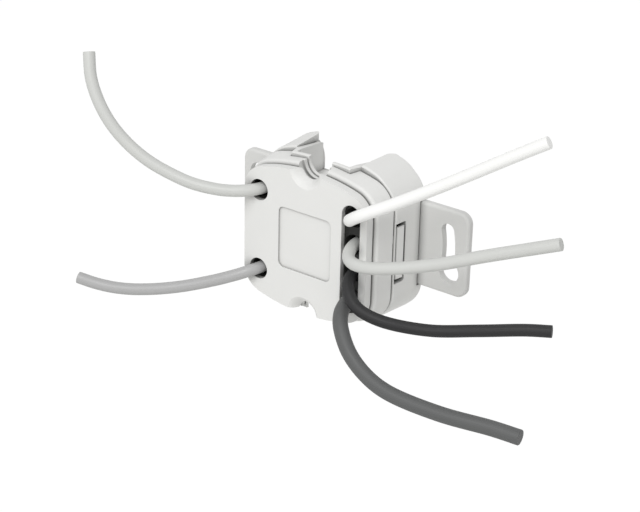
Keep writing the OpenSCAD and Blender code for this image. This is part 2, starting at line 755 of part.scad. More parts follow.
module supply_terminal_upper() terminal(-wire_hole_x, [wire_hole_z]);
module supply_terminal_lower() terminal(-wire_hole_x, [-wire_hole_z]);
module input_terminal() terminal(slot_x, input_zs);
module supply_clamp_springs() color(tin) for (z = supply_zs) clamp_spring(-wire_hole_x, -1, z);
module input_clamp_springs() color(tin) for (z = input_zs) clamp_spring(slot_x, 1, z);
module supply_current_bars() color(tin) for (z = supply_zs) current_bar(-wire_hole_x, -1, z);
module input_current_bars() color(tin) for (z = input_zs) current_bar(slot_x, 1, z);
module supply_conductors() color(copper) for (z = supply_zs) conductor(-wire_hole_x, z);
module input_conductors() color(copper) for (z = input_zs) conductor(slot_x, z);

// A round wire along a route, with one ring of points at each of its stations.
sides = 8;
function unit(v) = v / norm(v);
function heading(p, i) =
    unit(p[min(i + 1, len(p) - 1)] - p[max(i - 1, 0)]);
function square_to(v, t) = unit(v - (v * t) * t);
// Carries the first ring's direction from station to station, so no ring twists
function carried(p, i) =
    i == 0 ? [0, 0, 1] : square_to(carried(p, i - 1), heading(p, i));
function ring(p, i, r) =
    let (t = i == 0 ? [0, -1, 0] : heading(p, i), u = carried(p, i), v = cross(t, u))
    [for (k = [0:sides - 1]) let (a = 360 * k / sides) p[i] + r * (cos(a) * u + sin(a) * v)];

module wire(route, d) {
    path = [for (p = route) [p.x, p.y + front_y, p.z]];
    n = len(path);
    points = [for (i = [0:n - 1]) each ring(path, i, d / 2)];
    faces = concat(
        [[for (k = [0:sides - 1]) k]],
        [for (i = [0:n - 2], k = [0:sides - 1]) let (a = i * sides, b = (k + 1) % sides)
            [a + k, a + sides + k, a + sides + b, a + b]],
        [[for (k = [sides - 1:-1:0]) (n - 1) * sides + k]]);
    polyhedron(points, faces, convexity = 6);
}

module supply_wire_upper() color([0.78, 0.78, 0.77]) wire(supply_route_upper, wire_d);
module supply_wire_lower() color([0.71, 0.71, 0.71]) wire(supply_route_lower, wire_d);
module input_wire_white() color([0.94, 0.94, 0.93]) wire(white_route, wire_d);
module input_wire_light() color([0.78, 0.78, 0.78]) wire(light_route, wire_d);
module input_wire_black() color([0.28, 0.28, 0.28]) wire(black_route, wire_d);
module input_wire_common() color([0.44, 0.44, 0.44]) wire(common_route, common_wire_d);

// The parts on the back of the board fill the space up to the housing's back wall
back_room = middle_back_y - board_back;
core_h = back_room - core_clear;
core_t = core_h - 2 * winding_t;
cap_d = back_room - gap - cap_clear;
film_h = back_room - film_lift - film_clear;
varistor_d = back_room - varistor_lift - varistor_clear;
// They stand side by side from the left latch tongue on
side_x = lip_in_x - side_clear;
fuse_x = -side_x + fuse_d / 2;
transformer_x = fuse_x + fuse_d / 2 + part_gap + core_side / 2;
smoothing_x = transformer_x + core_side / 2 + part_gap + cap_d / 2;
film_x = smoothing_x + cap_d / 2 + part_gap + film_t / 2;
varistor_x = header_x + pin_side + 4 * part_gap;
package_x = -side_x + package_len / 2;
package_z = core_side / 2 + 2 * part_gap + package_w / 2;
transformer_y = board_back + core_h / 2;
core_window = (core_side - 2 * core_leg - core_mid) / 2;
window_reach = core_side / 2 - core_leg;

module transformer_core() color([0.22, 0.22, 0.24])
    up_and_down() difference() {
        block([transformer_x - core_side / 2, transformer_y - core_t / 2, 0],
            [transformer_x + core_side / 2, transformer_y + core_t / 2, core_side / 2]);
        for (s = [-1, 1])
            block_y(core_window, 2 * window_reach, -far, far,
                transformer_x + s * (core_mid + core_window) / 2, 0);
    }

module transformer_bobbin() color([0.20, 0.20, 0.18]) {
    tube_w = core_mid + 2 * gap + 2 * bobbin_t;
    tube_t = core_t + 2 * gap + 2 * bobbin_t;
    flange_w = core_mid + 2 * core_window - 2 * gap;
    flange_z = window_reach - gap;
    difference() {
        union() {
            block_y(tube_w, 2 * flange_z, transformer_y - tube_t / 2, transformer_y + tube_t / 2,
                transformer_x, 0);
            up_and_down()
                block([transformer_x - flange_w / 2, board_back, flange_z - bobbin_t],
                    [transformer_x + flange_w / 2, board_back + core_h, flange_z]);
        }
        block_y(core_mid + 2 * gap, far, transformer_y - core_t / 2 - gap,
            transformer_y + core_t / 2 + gap, transformer_x, 0);
    }
}

module transformer_winding() color(copper) {
    inner_w = core_mid + 4 * gap + 2 * bobbin_t;
    inner_t = core_t + 4 * gap + 2 * bobbin_t;
    outer_w = core_mid + 2 * core_window - 3 * gap;
    h = 2 * (window_reach - bobbin_t - 2 * gap);
    difference() {
        block_y(outer_w, h, board_back + 2 * gap, board_back + core_h - 2 * gap, transformer_x, 0);
        block_y(inner_w, far, transformer_y - inner_t / 2, transformer_y + inner_t / 2,
            transformer_x, 0);
    }
}

// Two leads that leave a component's lower end and bend down to the main board.
module bent_leads(x, y, z, spread) {
    for (s = [-1, 1]) {
        translate([x + s * spread, y, z]) cylinder(d = lead_d, h = 1.2, center = true);
        bar_y(lead_d / 2, board_back, y + lead_d / 2, x + s * spread, z - 0.6);
    }
}

// A round can that lies along Z on the main board.
module round_capacitor(x, z, length) {
    y = board_back + cap_d / 2 + gap;
    translate([x, y, z - length / 2]) cylinder(d = cap_d, h = length);
    bent_leads(x, y, z - length / 2 - 0.3, 1);
}
module smoothing_capacitor() color([0.15, 0.20, 0.35]) round_capacitor(smoothing_x, 0.5, cap_len);
module output_capacitor() color([0.15, 0.20, 0.35]) round_capacitor(side_x - cap_d / 2, 0.5, output_cap_len);

module film_capacitor() color([0.75, 0.62, 0.20]) {
    block_y(film_t, film_len, board_back + film_lift,
        board_back + film_lift + film_h, film_x, 0);
    up_and_down() bar_y(lead_d / 2, board_back, board_back + film_lift + eps, film_x,
        film_len / 2 - 1.2);
}

// A disc on edge, on two leads.
module varistor() color([0.15, 0.30, 0.60]) {
    y = board_back + varistor_d / 2 + varistor_lift;
    translate([varistor_x, y, 0]) rotate([0, 90, 0])
        cylinder(d = varistor_d, h = varistor_t, center = true);
    up_and_down() bar_y(lead_d / 2, board_back, y, varistor_x, varistor_d / 4);
}

module fusible_resistor() color([0.30, 0.50, 0.40]) {
    y = board_back + fuse_d / 2 + gap;
    translate([fuse_x, y, 0]) cylinder(d = fuse_d, h = fuse_len, center = true);
    up_and_down() {
        block([fuse_x - lead_d / 2, y - lead_d / 2, fuse_len / 2 - eps],
            [fuse_x + lead_d / 2, y + lead_d / 2, fuse_len / 2 + 1.2]);
        block_y(lead_d, lead_d, board_back, y + lead_d / 2, fuse_x, fuse_len / 2 + 1.2 - lead_d / 2);
    }
}

// A moulded package with a row of flat pins on each side.
module package(x, z) {
    block_y(package_len, package_w, board_back + gap, board_back + package_h, x, z);
    for (i = [-1.5:1:1.5], s = [-1, 1])
        block_y(0.4, 0.8, board_back, board_back + 0.4, x + 1.2 * i,
            z + s * (package_w / 2 + 0.3));
}
module bridge_rectifier() color(chip_black) package(package_x, package_z);
module supply_chip() color(chip_black) package(package_x, -package_z);

// Flat chip resistors on the front side, one for each input.
module input_resistors() color(chip_black)
    for (z = input_zs) block_y(resistor_len, resistor_w, board_y - 0.6, board_y, 2, z / 3);

front_cover();
front_shell();
rear_housing();
mounting_plate();
main_board();
radio_board();
radio_headers();
radio_shield();
aerial_strip();
supply_terminal_upper();
supply_terminal_lower();
input_terminal();
supply_clamp_springs();
input_clamp_springs();
supply_current_bars();
input_current_bars();
supply_conductors();
input_conductors();
supply_wire_upper();
supply_wire_lower();
input_wire_white();
input_wire_light();
input_wire_black();
input_wire_common();
transformer_core();
transformer_bobbin();
transformer_winding();
smoothing_capacitor();
output_capacitor();
film_capacitor();
varistor();
fusible_resistor();
bridge_rectifier();
supply_chip();
processor_chip();
input_resistors();
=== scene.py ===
"""Looks of the flush-mounted switch interface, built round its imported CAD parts."""

import json
import math

import bmesh
import bpy
from mathutils import Matrix, Vector


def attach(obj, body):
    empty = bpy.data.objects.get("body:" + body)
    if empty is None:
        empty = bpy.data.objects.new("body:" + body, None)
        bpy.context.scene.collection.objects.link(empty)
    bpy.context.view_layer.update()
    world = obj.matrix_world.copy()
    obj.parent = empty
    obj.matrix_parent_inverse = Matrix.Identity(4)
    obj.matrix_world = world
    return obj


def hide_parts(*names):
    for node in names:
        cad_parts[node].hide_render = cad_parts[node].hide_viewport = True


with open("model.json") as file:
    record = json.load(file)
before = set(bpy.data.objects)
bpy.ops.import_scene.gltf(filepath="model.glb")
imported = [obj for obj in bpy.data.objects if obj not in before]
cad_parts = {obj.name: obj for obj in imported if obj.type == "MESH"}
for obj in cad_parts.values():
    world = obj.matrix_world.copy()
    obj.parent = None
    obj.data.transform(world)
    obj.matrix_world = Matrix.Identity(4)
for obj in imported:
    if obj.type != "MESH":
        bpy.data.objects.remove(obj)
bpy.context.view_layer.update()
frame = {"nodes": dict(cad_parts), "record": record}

MM = 0.001
# Depth of the wired front face, in mm, in the part's frame
FACE = -21.3


# Camera and wires

def place_camera():
    """The photograph's view, solved from the front face, the plate and its slots."""
    turn, rise, roll = (math.radians(a) for a in (37.408, 24.385, 1.355))
    distance, aside, below = 451.65, 4.043, 2.866
    focal_length_px, photo_width_px, sensor = 1819.157, 640, 36
    level = Vector((math.cos(turn), math.sin(turn), 0))
    back = Vector((math.sin(turn) * math.cos(rise), -math.cos(turn) * math.cos(rise),
                   math.sin(rise)))
    above = back.cross(level)
    right = math.cos(roll) * level + math.sin(roll) * above
    up = -math.sin(roll) * level + math.cos(roll) * above
    place = distance * back + aside * right - below * up + Vector((0, FACE, 0))
    data = bpy.data.cameras.new("photo_camera")
    data.sensor_width = sensor
    data.lens = focal_length_px * sensor / photo_width_px
    data.clip_start, data.clip_end = 0.01, 20
    camera = bpy.data.objects.new("photo_camera", data)
    bpy.context.scene.collection.objects.link(camera)
    camera.matrix_world = Matrix((
        (right.x, up.x, back.x, place.x * MM), (right.y, up.y, back.y, place.y * MM),
        (right.z, up.z, back.z, place.z * MM), (0, 0, 0, 1)))
    bpy.context.scene.camera = camera


place_camera()

# Each wire's diameter and its route: across, depth from the front face, and up, in mm
WIRES = {
    "supply_wire_upper": (3.1, [
        (-14.5, 5.8, 10.8), (-14.5, 3.4, 10.8), (-15, 1.1, 10.7), (-16.2, -1.1, 10.6),
        (-17.9, -3, 10.5), (-19.8, -4.6, 10.5), (-22.5, -6.7, 10.8), (-27.8, -10, 12),
        (-33.2, -12.7, 14.2), (-38.2, -15.2, 17.1), (-42.9, -17.2, 20.9),
        (-47, -18.7, 25.5), (-50.5, -19.3, 30.7), (-53.3, -19, 36.4), (-55.2, -17.5, 42.3)]),
    "supply_wire_lower": (3.1, [
        (-14.5, 5.8, -10.8), (-14.5, 3.4, -10.8), (-15, 1.1, -11.1), (-16.1, -1.1, -11.5),
        (-17.7, -2.9, -12.2), (-19.6, -4.4, -13), (-22.3, -6.2, -14.1),
        (-26.2, -8.6, -15.5), (-30.1, -11.1, -16.7), (-34, -13.6, -17.6),
        (-38.1, -16, -18.3), (-42.2, -18.3, -18.7), (-46.5, -20.4, -18.7),
        (-50.8, -22.3, -18.2), (-55.2, -24, -17.3)]),
    "input_wire_white": (3.1, [
        (14.3, 5.8, 10.8), (14.3, 3.4, 10.8), (14.4, 1, 10.8), (15, -1.1, 11.2),
        (16, -2.8, 11.9), (17.5, -4, 13), (19.6, -4.5, 14.4), (22.6, -3.6, 16.1),
        (27, -1.2, 18.4), (34.6, 2.3, 22.8), (43.9, 5.9, 28.5), (53.7, 9, 34.7),
        (60.9, 11.3, 39.1)]),
    "input_wire_light": (3.1, [
        (14.3, 5.8, 3.6), (14.3, 3.4, 3.6), (14.5, 1, 3.5), (15.1, -1.1, 3.2),
        (16.1, -3, 2.9), (17.6, -4.6, 2.6), (19.9, -5.7, 2.5), (23.9, -5.6, 2.7),
        (30.5, -3.6, 3.9), (40.5, -0.3, 6.8), (51.3, 2.9, 11), (68.3, 7.4, 17.4)]),
    "input_wire_black": (3.1, [
        (14.3, 5.8, -3.6), (14.3, 3.5, -3.6), (14.5, 1.1, -4.1), (15.1, -1.2, -5),
        (16.3, -3, -6.2), (17.9, -4.2, -7.6), (20.8, -4.7, -9.5), (26.2, -3.1, -11.5),
        (36.9, 2, -12.6), (47.7, 7, -11.1), (58.5, 11.7, -9.2), (64, 14.1, -8.7)]),
    "input_wire_common": (3.8, [
        (14.3, 5.8, -10.8), (14.3, 3.5, -10.8), (14.4, 1, -10.8), (14.8, -1.5, -11),
        (15.5, -3.8, -11.4), (16.5, -6, -12.1), (18.4, -8.4, -13.7), (23.2, -11.3, -17.8),
        (29.1, -12.6, -21.3), (35.7, -12.8, -23.6), (49.5, -11.1, -25.2),
        (63.2, -8.5, -25.4), (70.1, -7.5, -25.7)]),
}


def smooth_route(route, step=1.2):
    """Points about a step apart, in mm, on a smooth curve through the route's points."""
    stops = [Vector((x, y + FACE, z)) for x, y, z in route]
    ends = [2 * stops[0] - stops[1]] + stops + [2 * stops[-1] - stops[-2]]
    line = [stops[0]]
    for a, b, c, d in zip(ends, ends[1:], ends[2:], ends[3:]):
        t = [0.0]
        for p, q in ((a, b), (b, c), (c, d)):
            t.append(t[-1] + math.sqrt((q - p).length))
        parts = max(1, round((c - b).length / step))
        for i in range(1, parts + 1):
            s = t[1] + (t[2] - t[1]) * i / parts
            ab = a.lerp(b, (s - t[0]) / (t[1] - t[0]))
            bc = b.lerp(c, (s - t[1]) / (t[2] - t[1]))
            cd = c.lerp(d, (s - t[2]) / (t[3] - t[2]))
            left = ab.lerp(bc, (s - t[0]) / (t[2] - t[0]))
            right = bc.lerp(cd, (s - t[1]) / (t[3] - t[1]))
            line.append(left.lerp(right, (s - t[1]) / (t[2] - t[1])))
    return line


def deselect():
    """Leaves nothing selected, in object mode."""
    active = bpy.context.view_layer.objects.active
    if active and active.mode != "OBJECT":
        bpy.ops.object.mode_set(mode="OBJECT")
    bpy.ops.object.select_all(action="DESELECT")


def pick(piece):
    """Selects one piece alone and makes it the active one."""
    deselect()
    piece.select_set(True)
    bpy.context.view_layer.objects.active = piece


def select_edges(piece, wanted):
    """Goes to edit mode with the edges selected for which wanted(end, end, sharp) holds."""
    pick(piece)
    bpy.ops.object.mode_set(mode="EDIT")
    bpy.ops.mesh.select_mode(type="EDGE")
    bpy.ops.mesh.select_all(action="DESELECT")
    shape = bmesh.from_edit_mesh(piece.data)
    found = 0
    for edge in shape.edges:
        a, b = (v.co / MM for v in edge.verts)
        sharp = edge.is_manifold and edge.calc_face_angle(0) > math.radians(40)
        if wanted(a, b, sharp):
            edge.select_set(True)
            found += 1
    bmesh.update_edit_mesh(piece.data)
    return found


def bevel(piece, width, segments, wanted):
    """Rounds the edges for which wanted(end, end, sharp) holds, over a width in mm."""
    if select_edges(piece, wanted):
        bpy.ops.mesh.bevel(offset=width * MM, segments=segments, profile=0.5,
                           affect="EDGES", clamp_overlap=True, loop_slide=True)
    bpy.ops.object.mode_set(mode="OBJECT")


def finish_shape(piece, smooth=32):
    """Merges doubles, turns the faces outwards and shades flat and round parts apart."""
    pick(piece)
    bpy.ops.object.mode_set(mode="EDIT")
    bpy.ops.mesh.select_all(action="SELECT")
    bpy.ops.mesh.remove_doubles(threshold=0.002 * MM)
    bpy.ops.mesh.normals_make_consistent(inside=False)
    bpy.ops.object.mode_set(mode="OBJECT")
    bpy.ops.object.shade_smooth_by_angle(angle=math.radians(smooth))
    weigh = piece.modifiers.new("even", "WEIGHTED_NORMAL")
    weigh.keep_sharp = True
    bpy.ops.object.modifier_apply(modifier=weigh.name)


def draw_wire(node, diameter, route):
    """A round length of insulation along a route, its far end cut square and eased."""
    line = smooth_route(route)
    data = bpy.data.curves.new(node + "_insulation", "CURVE")
    data.dimensions = "3D"
    data.bevel_depth = diameter / 2 * MM
    data.bevel_resolution = 6
    data.use_fill_caps = True
    spline = data.splines.new("POLY")
    spline.points.add(len(line) - 1)
    for point, p in zip(spline.points, line):
        point.co = (*(p * MM), 1)
    wire = bpy.data.objects.new(node + "_insulation", data)
    bpy.context.scene.collection.objects.link(wire)
    pick(wire)
    bpy.ops.object.convert(target="MESH")
    wire = bpy.context.object
    tip, run = line[-1], (line[-1] - line[-2]).normalized()
    bpy.ops.object.mode_set(mode="EDIT")
    bpy.ops.mesh.select_all(action="SELECT")
    bpy.ops.mesh.remove_doubles(threshold=0.002 * MM)
    bpy.ops.object.mode_set(mode="OBJECT")

    def on_tip(p):
        return abs((p - tip).dot(run)) < 0.02

    bevel(wire, 0.3, 3, lambda a, b, sharp: on_tip(a) and on_tip(b) and sharp)
    finish_shape(wire, 40)
    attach(wire, "root")
    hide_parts(node)
    return wire


wires = {node: draw_wire(node, *facts) for node, facts in WIRES.items()}


# Materials

def linear(code):
    """An sRGB hex colour as linear red, green, blue and alpha."""
    parts = [int(code[i:i + 2], 16) / 255 for i in (1, 3, 5)]
    return (*[c / 12.92 if c <= 0.04045 else ((c + 0.055) / 1.055) ** 2.4 for c in parts], 1)


def add(tree, kind, inputs=None, **settings):
    """Adds a node, with its settings, its values and its links."""
    made = tree.nodes.new("ShaderNode" + kind)
    for key, value in settings.items():
        setattr(made, key, value)
    for key, value in (inputs or {}).items():
        if isinstance(value, bpy.types.NodeSocket):
            tree.links.new(value, made.inputs[key])
        else:
            made.inputs[key].default_value = value
    return made


# Painted shade for the joints, creases and inner corners of the mouldings, standing in for the
# shade that falls there
PAINTED_CREVICE_SHADE = "#787876"


def surface(name, light, dark, roughness, spread, grain, depth, patch=6.0, metallic=0.0,
            coat=0.0, ior=1.46, stretch=(1, 1, 1), along=False, painted_shade_reach=0.0):
    """A finish whose colour drifts between two shades over patches of some mm, and whose
    skin has a grain of some mm, standing out by depth mm. Stretch draws the grain out
    along an axis. Along follows the piece's own length, as on drawn wire. The last
    argument is the reach in mm of a painted shade: ambient occlusion darkens the colour in
    joints and inner corners, standing in for the shade that falls there."""
    finish = bpy.data.materials.new(name)
    finish.use_nodes = True
    tree = finish.node_tree
    tree.nodes.clear()
    where = add(tree, "TexCoord").outputs["UV" if along else "Object"]
    spot = add(tree, "Mapping", {"Vector": where, "Scale": stretch}).outputs["Vector"]
    drift = add(tree, "TexNoise", {"Vector": where, "Scale": 1 / (patch * MM) if not along
                else 14.0, "Detail": 3.0, "Roughness": 0.55}).outputs["Fac"]
    fine = add(tree, "TexNoise", {"Vector": spot, "Scale": 1 / (grain * MM) if not along
               else 1.0, "Detail": 2.0, "Roughness": 0.6}).outputs["Fac"]
    tone = add(tree, "Mix", {"Factor": drift, "A": linear(dark), "B": linear(light)},
               data_type="RGBA")
    colour = tone.outputs["Result"]
    # Painted shade: ambient occlusion mixes the colour towards a grey in joints, creases and
    # inner corners
    if painted_shade_reach:
        shut = add(tree, "AmbientOcclusion", {"Distance": painted_shade_reach * MM}, samples=12)
        shade = add(tree, "MapRange", {"Value": shut.outputs["AO"], "From Min": 0.2,
                                       "From Max": 0.97})
        colour = add(tree, "Mix", {"Factor": shade.outputs["Result"], "B": colour,
                                   "A": linear(PAINTED_CREVICE_SHADE)},
                     data_type="RGBA").outputs["Result"]
    gloss = add(tree, "MapRange", {"Value": fine, "From Min": 0.3, "From Max": 0.7,
                                   "To Min": roughness - spread, "To Max": roughness + spread})
    bump = add(tree, "Bump", {"Height": fine, "Strength": 1.0, "Distance": depth * MM})
    shader = add(tree, "BsdfPrincipled", {
        "Base Color": colour, "Roughness": gloss.outputs["Result"],
        "Metallic": metallic, "IOR": 1.5 if metallic else ior, "Coat Weight": coat,
        "Normal": bump.outputs["Normal"]})
    add(tree, "OutputMaterial", {"Surface": shader.outputs["BSDF"]})
    return finish


# Shells: ABS moulded in a spark-eroded tool, which leaves an even, finely matt skin. The
# real grain is about 0.1 mm, too fine for the render, so it is drawn at 0.3 mm.
# The shells' colour carries painted shade up to 2.6 mm into joints and inner corners
ABS_WHITE = surface("moulded_abs_white", "#EBEBE9", "#E7E7E5", 0.52, 0.05, 0.3, 0.004, 9.0,
                    painted_shade_reach=2.6)
# Plate: glass-filled polyamide, slightly greyer and drier than the shells
# The plate's colour carries painted shade up to 2.6 mm into joints and inner corners
POLYAMIDE = surface("glass_filled_polyamide", "#DDDDDB", "#D8D8D6", 0.60, 0.05, 0.4, 0.006, 7.0,
                    painted_shade_reach=2.6)


def insulation(name, light, dark, roughness=0.42):
    """Extruded PVC insulation: satin, with faint lines along its length from the die."""
    return surface(name, light, dark, roughness, 0.06, 1, 0.012, along=True,
                   stretch=(5, 38, 1))


PVC_LIGHT_GREY = insulation("extruded_pvc_light_grey", "#D2D3D0", "#CDCECB")
PVC_GREY = insulation("extruded_pvc_grey", "#B4B4B4", "#AFAFAF")
PVC_WHITE = insulation("extruded_pvc_white", "#FBFBFA", "#F8F8F6", 0.36)
PVC_BLACK = insulation("extruded_pvc_black", "#272728", "#242425", 0.64)
PVC_DARK_GREY = insulation("extruded_pvc_dark_grey", "#5F6060", "#5B5C5C", 0.56)

# Slot in the record, then the finish: inner pieces get plainer ones, as they are shut in
INNER = {
    # Woven glass and epoxy under a green solder lacquer
    "board": surface("solder_lacquer_green", "#1E6B3A", "#185A30", 0.32, 0.06, 0.4, 0.01, 2.0,
                     coat=0.3),
    # Moulded polyamide of headers, bobbin and chip packages
    "black_plastic": surface("moulded_epoxy_black", "#222224", "#1B1B1D", 0.55, 0.08, 0.2,
                             0.004, 2.0),
    # Dark terminal bodies behind the openings of the face
    "terminal_plastic": surface("moulded_polyamide_black", "#1F201E", "#181917", 0.62, 0.06,
                                0.3, 0.005, 3.0),
    # Tin plate drawn and stamped, with faint rolling lines
    "tinned_metal": surface("tinned_steel", "#C9C8C4", "#B9B8B4", 0.34, 0.08, 0.25, 0.003, 2.5,
                            metallic=1.0, stretch=(1, 1, 6)),
    # Drawn copper wire, lightly browned
    "copper": surface("drawn_copper", "#D08A5E", "#B8744A", 0.30, 0.08, 0.2, 0.004, 1.5,
                      metallic=1.0, stretch=(1, 1, 5)),
    # Pressed and sintered ferrite
    "ferrite": surface("sintered_ferrite", "#3E3E42", "#333337", 0.70, 0.08, 0.3, 0.012, 1.5),
    # Printed sleeve shrunk on an aluminium can
    "capacitor_can": surface("shrunk_sleeve_blue", "#24324F", "#1D2942", 0.30, 0.05, 0.3,
                             0.003, 2.5),
    # Moulded case of the film capacitor
    "film_coating": surface("moulded_case_ochre", "#C5A243", "#B6943A", 0.38, 0.05, 0.3, 0.004,
                            2.0),
    # Dipped epoxy over the varistor's disc
    "disc_coating": surface("dipped_epoxy_blue", "#2B4F9E", "#234388", 0.28, 0.05, 0.5, 0.02,
                            1.5),
    # Lacquer over the wound resistor
    "resistor_coating": surface("lacquer_green", "#55806A", "#4B735E", 0.36, 0.06, 0.4, 0.015,
                                1.5),
}

WIRE_FINISH = {
    "supply_wire_upper": (PVC_LIGHT_GREY, "wire_light_grey"),
    "supply_wire_lower": (PVC_GREY, "wire_grey"),
    "input_wire_white": (PVC_WHITE, "wire_white"),
    "input_wire_light": (PVC_LIGHT_GREY, "wire_light_grey"),
    "input_wire_black": (PVC_BLACK, "wire_black"),
    "input_wire_common": (PVC_DARK_GREY, "wire_dark_grey"),
}
for node, (finish, slot) in WIRE_FINISH.items():
    wires[node].data.materials.clear()
    wires[node].data.materials.append(finish)

slot_of = {s["node"]: s["material_slot"] for s in frame["record"]["subparts"]}
for node, shown in frame["nodes"].items():
    if slot_of[node] in INNER:
        for place in shown.material_slots:
            place.material = INNER[slot_of[node]]


# Shapes shared by the shells, in mm

# Centre of the outline's upper right corner, and how far under the middle the centre of its
# crowned top lies
CORNER_X, CORNER_Z, CROWN_DROP = 12.4, 10.6, 33.8
CROWN_REACH = math.hypot(CORNER_X, CORNER_Z + CROWN_DROP)


def half_w(r):
    """Half the outline's width at corner radius r."""
    return CORNER_X + r


def half_h(r):
    """Half the outline's height at corner radius r, at the top of its crown."""
    return CROWN_REACH + r - CROWN_DROP


def outline(r, corner=16, crown=20):
    """The housing's outline at corner radius r: straight sides and a crowned top."""
    turn = math.atan2(CORNER_Z + CROWN_DROP, CORNER_X)
    quarter = []
    for i in range(corner + 1):
        a = turn * i / corner
        quarter.append((CORNER_X + r * math.cos(a), CORNER_Z + r * math.sin(a)))
    for i in range(1, crown + 1):
        a = turn + (math.pi / 2 - turn) * i / crown
        quarter.append(((CROWN_REACH + r) * math.cos(a),
                        (CROWN_REACH + r) * math.sin(a) - CROWN_DROP))
    top = quarter + [(-x, z) for x, z in reversed(quarter[:-1])]
    return top + [(-x, -z) for x, z in top]


def hull(points):
    """The convex outline round some points."""
    points = sorted({(round(x, 5), round(z, 5)) for x, z in points})

    def half(row):
        line = []
        for x, z in row:
            while len(line) > 1 and ((line[-1][0] - line[-2][0]) * (z - line[-2][1])
                                     < (line[-1][1] - line[-2][1]) * (x - line[-2][0]) + 1e-6):
                line.pop()
            line.append((x, z))
        return line[:-1]

    return half(points) + half(points[::-1])


def housing_outline(r):
    """The rear housing's outline, with the fuller upper arcs of its four lobes."""
    arcs = [p for x in (-10.9, 10.9) for z in (-11.4, 11.4) for p in circle(x, z, r + 0.4)]
    tops = [p for x in (-9.4, 9.4) for z in (-12, 12) for p in circle(x, z, r + 0.3)]
    return hull(outline(r) + arcs + tops)


def circle(x, z, r, sides=64):
    """A round outline."""
    return [(x + r * math.cos(2 * math.pi * i / sides), z + r * math.sin(2 * math.pi * i / sides))
            for i in range(sides)]


def rounded(x, z, w, h, r, steps=10):
    """A rectangle round a centre, with round corners."""
    loop = []
    for k, (sx, sz) in enumerate(((1, 1), (-1, 1), (-1, -1), (1, -1))):
        for i in range(steps + 1):
            a = math.pi / 2 * (k + i / steps)
            loop.append((x + sx * (w / 2 - r) + r * math.cos(a),
                         z + sz * (h / 2 - r) + r * math.sin(a)))
    return loop


def prism(name, loop, front, back):
    """A solid with a closed outline of (x, z), from one depth to another."""
    deselect()
    bpy.ops.mesh.primitive_circle_add(vertices=len(loop), radius=MM, fill_type="NGON")
    piece = bpy.context.object
    piece.name = name
    piece.matrix_world = Matrix.Identity(4)
    for v, (x, z) in zip(piece.data.vertices, loop):
        v.co = Vector((x, front, z)) * MM
    bpy.ops.object.mode_set(mode="EDIT")
    bpy.ops.mesh.select_all(action="SELECT")
    bpy.ops.mesh.extrude_region_move(
        TRANSFORM_OT_translate={"value": (0, (back - front) * MM, 0)})
    bpy.ops.mesh.select_all(action="SELECT")
    bpy.ops.mesh.normals_make_consistent(inside=False)
    bpy.ops.object.mode_set(mode="OBJECT")
    return piece


def box(lo, hi):
    """A block between two corners."""
    return prism("block", [(lo[0], lo[2]), (hi[0], lo[2]), (hi[0], hi[2]), (lo[0], hi[2])],
                 lo[1], hi[1])


def turned(name, loop, low, high, order):
    """A prism with its axes in another order."""
    piece = prism(name, loop, low, high)
    for v in piece.data.vertices:
        v.co = [v.co[i] for i in order]
    bpy.ops.object.mode_set(mode="EDIT")
    bpy.ops.mesh.select_all(action="SELECT")
    bpy.ops.mesh.normals_make_consistent(inside=False)
    bpy.ops.object.mode_set(mode="OBJECT")
    return piece


def plan(name, loop, low, high):
    """A solid with a closed outline of (x, y), from one height to another."""
    return turned(name, loop, low, high, (0, 2, 1))


def side_on(name, loop, left, right):
    """A solid with a closed outline of (y, z), from one side to the other."""
    return turned(name, loop, left, right, (1, 0, 2))


def combine(piece, other, way):
    """Cuts, joins or intersects a piece with another, which is used up."""
    pick(piece)
    mix = piece.modifiers.new(way.lower(), "BOOLEAN")
    mix.operation, mix.object, mix.solver = way, other, "EXACT"
    bpy.ops.object.modifier_apply(modifier=mix.name)
    bpy.data.objects.remove(other)


def cut(piece, *others):
    for other in others:
        combine(piece, other, "DIFFERENCE")


def join(piece, *others):
    for other in others:
        combine(piece, other, "UNION")


def scale_at(piece, depth, across, up, middle=0):
    """Scales what lies at a depth, about a height on the centre line."""
    pick(piece)
    bpy.ops.object.mode_set(mode="EDIT")
    bpy.ops.mesh.select_mode(type="VERT")
    bpy.ops.mesh.select_all(action="DESELECT")
    shape = bmesh.from_edit_mesh(piece.data)
    for v in shape.verts:
        v.select_set(abs(v.co.y / MM - depth) < 0.001)
    bmesh.update_edit_mesh(piece.data)
    bpy.ops.transform.resize(value=(across, 1, up),
                             center_override=(0, depth * MM, middle * MM))
    bpy.ops.object.mode_set(mode="OBJECT")


def widen_back(piece, depth, r_from, r_to):
    """Lets the outline grow towards the back, as a moulded shell drafts."""
    scale_at(piece, depth, half_w(r_to) / half_w(r_from), half_h(r_to) / half_h(r_from))


def step_back(piece, depth, inset, reach):
    """Sinks the back face's border, for the shadow line where two shells meet."""
    pick(piece)
    bpy.ops.object.mode_set(mode="EDIT")
    bpy.ops.mesh.select_mode(type="FACE")
    bpy.ops.mesh.select_all(action="DESELECT")
    shape = bmesh.from_edit_mesh(piece.data)
    for f in shape.faces:
        f.select_set(all(abs(v.co.y / MM - depth) < 0.001 for v in f.verts))
    bmesh.update_edit_mesh(piece.data)
    bpy.ops.mesh.inset(thickness=inset * MM, depth=0)
    bpy.ops.mesh.extrude_region_move(TRANSFORM_OT_translate={"value": (0, reach * MM, 0)})
    bpy.ops.object.mode_set(mode="OBJECT")


def dress(piece, node, finish):
    """Finishes a moulding, which then stands in for its node."""
    finish_shape(piece)
    piece.data.materials.clear()
    piece.data.materials.append(finish)
    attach(piece, "root")
    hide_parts(node)


def at_depth(depth):
    """Picks the sharp edges that lie in the plane at a depth."""
    return lambda a, b, sharp: sharp and abs(a.y - depth) < 0.005 and abs(b.y - depth) < 0.005


def both(a, b, test):
    """Whether both ends of an edge pass a test."""
    return test(a) and test(b)


# Corner radii of the outlines of cover, housing and the shell's lip
COVER_R, HOUSING_R, LIP_R = 6.8, 8.8, 7.2
